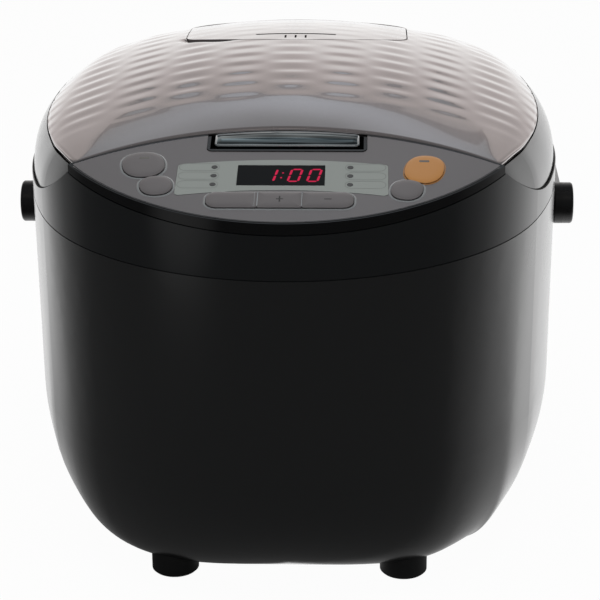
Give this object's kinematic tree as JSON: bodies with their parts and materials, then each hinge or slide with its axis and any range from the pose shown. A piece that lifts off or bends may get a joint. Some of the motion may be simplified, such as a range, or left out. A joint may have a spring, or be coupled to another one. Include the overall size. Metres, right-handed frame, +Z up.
{
  "type": "multicooker",
  "caption": "Countertop electric multicooker: oval black body, hinged domed lid with steam vent, sloped panel with keys, push latch, folded bail handle and removable-style inner pot.",
  "frame": {"origin": "centre of the overall box in plan, on the surface that the feet stand on", "axes": "+Z up, the control panel faces -Y, +X to the user's right as seen from the panel"},
  "size_m": [0.3016, 0.369, 0.2395],
  "materials": {
    "shell_black": "satin",
    "base_black": "matte",
    "foot_rubber": "matte",
    "zinc_steel": "satin",
    "inlet_black": "satin",
    "contact_brass": "polished",
    "sleeve_aluminium": "satin",
    "pot_coating": "satin",
    "heater_aluminium": "satin",
    "circuit_board": "satin",
    "transformer_core": "matte",
    "relay_case": "gloss",
    "capacitor_sleeve": "gloss",
    "ring_black": "satin",
    "deck_black": "matte",
    "trim_black": "gloss",
    "panel_grey": "satin",
    "label_grey": "satin",
    "window_black": "gloss",
    "module_white": "matte",
    "light_lens": "gloss",
    "switch_black": "matte",
    "latch_chrome": "polished",
    "handle_grey": "satin",
    "cap_black": "satin",
    "lid_gloss": "gloss",
    "lid_side": "gloss",
    "liner_grey": "satin",
    "silicone": "matte",
    "plate_aluminium": "polished",
    "key_grey": "satin",
    "key_orange": "satin"
  },
  "bodies": {
    "cooker_body": {"outer_shell": "shell_black", "base_plate": "base_black", "feet": "foot_rubber", "base_screws": "zinc_steel", "power_inlet": "inlet_black", "inlet_pins": "contact_brass", "inner_sleeve": "sleeve_aluminium", "inner_pot": "pot_coating", "heating_plate": "heater_aluminium", "heater_posts": "zinc_steel", "temperature_sensor": "heater_aluminium", "power_board": "circuit_board", "transformer": "transformer_core", "relay": "relay_case", "capacitors": "capacitor_sleeve", "upper_ring": "ring_black", "deck": "deck_black", "panel_frame": "trim_black", "control_panel": "panel_grey", "display_label": "label_grey", "display_window": "window_black", "display_module": "module_white", "indicator_lights": "light_lens", "control_board": "circuit_board", "key_switches": "switch_black", "board_screws": "zinc_steel", "latch_bezel": "trim_black", "hinge_ears": "deck_black", "hinge_pin": "zinc_steel", "pivot_bosses": "base_black", "pivot_pins": "zinc_steel"},
    "lid": {"lid_cover": "lid_gloss", "lid_frame": "lid_side", "lid_liner": "liner_grey", "lid_screws": "zinc_steel", "lid_gasket": "silicone", "inner_lid_plate": "plate_aluminium", "plate_grommet": "silicone", "lid_sensor": "heater_aluminium", "lid_catch": "base_black", "valve_socket": "liner_grey", "lid_hinge_arms": "deck_black"},
    "steam_vent": {"steam_vent_cap": "lid_gloss"},
    "handle": {"carry_handle": "handle_grey", "pivot_caps": "cap_black"},
    "latch": {"latch_button": "latch_chrome", "latch_lever": "base_black"},
    "cancel_key": {"key_cancel": "key_grey"},
    "delay_key": {"key_delay": "key_grey"},
    "start_key": {"key_start": "key_orange"},
    "menu_key": {"key_menu": "key_grey"},
    "time_key": {"key_time": "key_grey"},
    "plus_key": {"key_plus": "key_grey"},
    "minus_key": {"key_minus": "key_grey"}
  },
  "joints": [
    {"name": "lid_hinge", "type": "hinge", "parent": "cooker_body", "child": "lid", "pos_m": [0, 0.16045, 0.18], "axis": [-1, 0, 0], "range_deg": [0, 85]},
    {"name": "vent_lift", "type": "slide", "parent": "lid", "child": "steam_vent", "axis": [0, 0, 1], "range_m": [0, 0.015]},
    {"name": "handle_swing", "type": "hinge", "parent": "cooker_body", "child": "handle", "pos_m": [0, 0.00595, 0.148], "axis": [-1, 0, 0], "range_deg": [-90, 0]},
    {"name": "latch_press", "type": "slide", "parent": "cooker_body", "child": "latch", "axis": [0, 0.2079, -0.9781], "range_m": [0, 0.0025], "stiffness_N_per_m": 800, "springref_m": -0.002},
    {"name": "cancel_press", "type": "slide", "parent": "cooker_body", "child": "cancel_key", "axis": [0, 0.2079, -0.9781], "range_m": [0, 0.0005], "stiffness_N_per_m": 800, "springref_m": -0.001},
    {"name": "delay_press", "type": "slide", "parent": "cooker_body", "child": "delay_key", "axis": [0, 0.2079, -0.9781], "range_m": [0, 0.0005], "stiffness_N_per_m": 800, "springref_m": -0.001},
    {"name": "start_press", "type": "slide", "parent": "cooker_body", "child": "start_key", "axis": [0, 0.2079, -0.9781], "range_m": [0, 0.0005], "stiffness_N_per_m": 800, "springref_m": -0.001},
    {"name": "menu_press", "type": "slide", "parent": "cooker_body", "child": "menu_key", "axis": [0, 0.2079, -0.9781], "range_m": [0, 0.0005], "stiffness_N_per_m": 800, "springref_m": -0.001},
    {"name": "time_press", "type": "slide", "parent": "cooker_body", "child": "time_key", "axis": [0, 0.2079, -0.9781], "range_m": [0, 0.0005], "stiffness_N_per_m": 800, "springref_m": -0.001},
    {"name": "plus_press", "type": "slide", "parent": "cooker_body", "child": "plus_key", "axis": [0, 0.2079, -0.9781], "range_m": [0, 0.0005], "stiffness_N_per_m": 800, "springref_m": -0.001},
    {"name": "minus_press", "type": "slide", "parent": "cooker_body", "child": "minus_key", "axis": [0, 0.2079, -0.9781], "range_m": [0, 0.0005], "stiffness_N_per_m": 800, "springref_m": -0.001}
  ]
}
